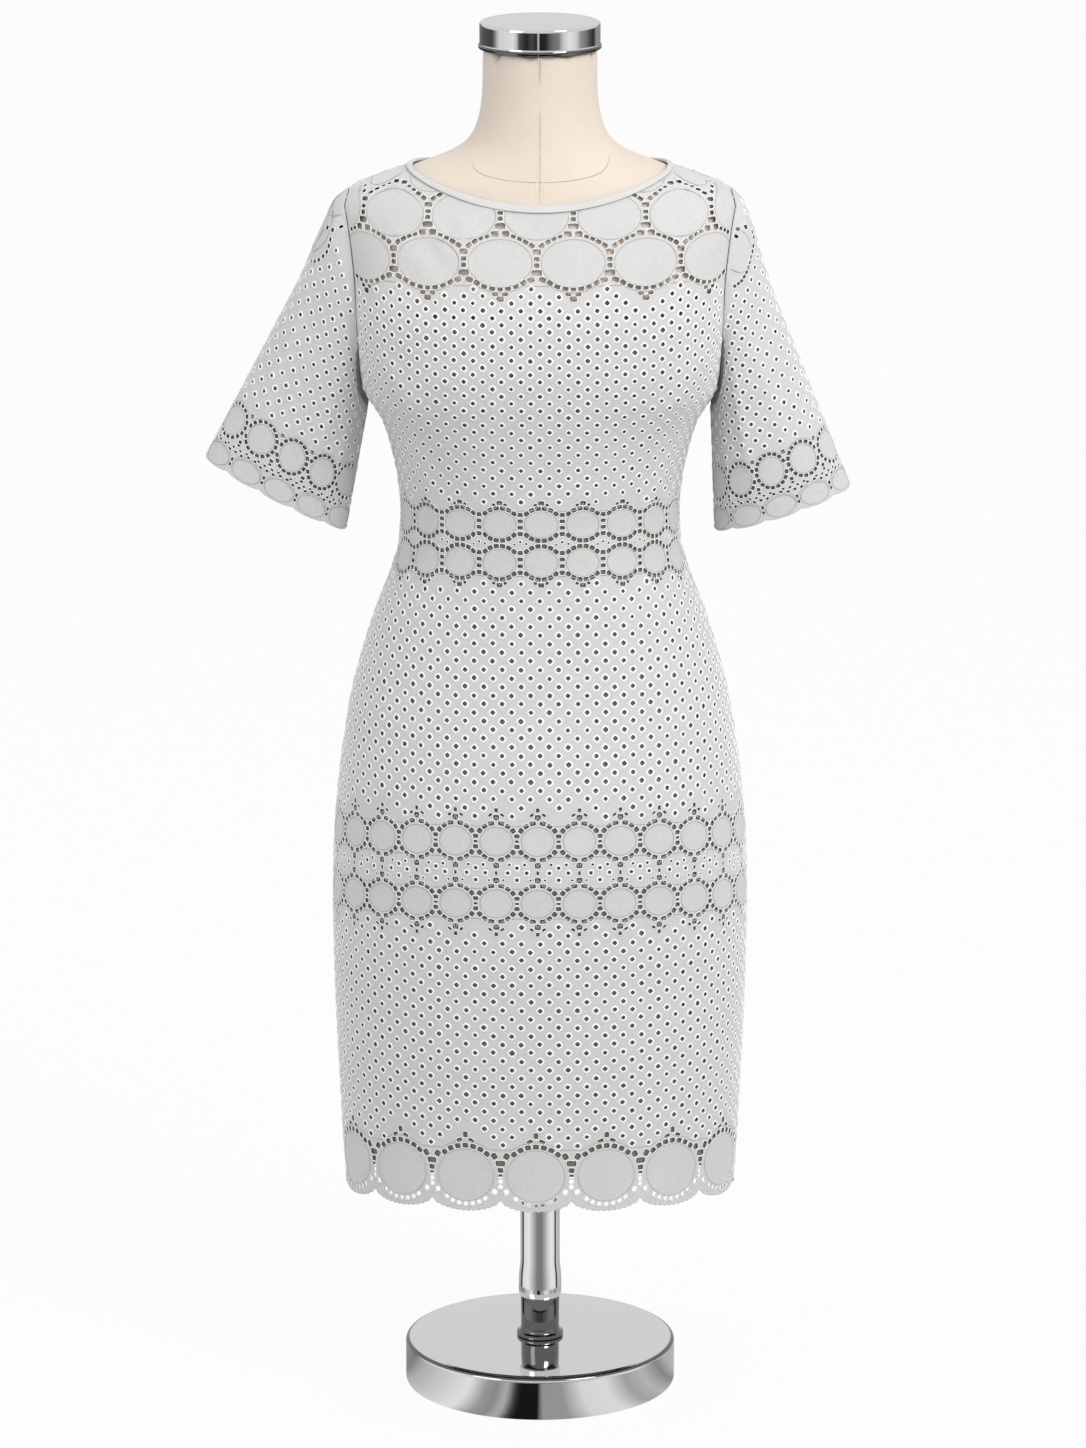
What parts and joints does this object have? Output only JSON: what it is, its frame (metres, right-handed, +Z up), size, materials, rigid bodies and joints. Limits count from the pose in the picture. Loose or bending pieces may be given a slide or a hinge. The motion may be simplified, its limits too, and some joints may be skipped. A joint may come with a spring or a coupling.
{
  "type": "sheath dress on a limbless dress form with a round stand",
  "caption": "Knee-length eyelet sheath dress with short sleeves and scalloped cutwork edges, worn by a limbless dress form on a chrome pole stand.",
  "frame": {"origin": "centre of the round base's underside, on the floor", "axes": "+Z up the pole; the front of the dress faces -Y; +X is to the right of someone who looks at the front"},
  "size_m": [0.5337, 0.2544, 1.169],
  "materials": {
    "eyelet_cotton": "light grey embroidered cotton, matt, with satin-stitched eyelets",
    "form_cover": "cream cotton cover, matt",
    "polished_chrome": "polished chrome plate",
    "zip_metal": "plain nickel-coloured zip metal"
  },
  "bodies": {
    "dress_on_form": {"dress_front": "eyelet_cotton", "dress_back_left": "eyelet_cotton", "dress_back_right": "eyelet_cotton", "sleeve_left": "eyelet_cotton", "sleeve_right": "eyelet_cotton", "neck_binding": "eyelet_cotton", "zip_slider": "zip_metal", "form_torso": "form_cover", "form_neck_cap": "polished_chrome", "form_plate": "polished_chrome", "stand_pole": "polished_chrome", "stand_collar": "polished_chrome", "stand_base": "polished_chrome"},
    "zip_tab": {"zip_pull": "zip_metal"}
  },
  "joints": [
    {"name": "zip_tab_swing", "type": "hinge", "parent": "dress_on_form", "child": "zip_tab", "pos_m": [0, 0.08395, 1.024], "axis": [1, 0, 0], "range_deg": [0, 140]}
  ]
}
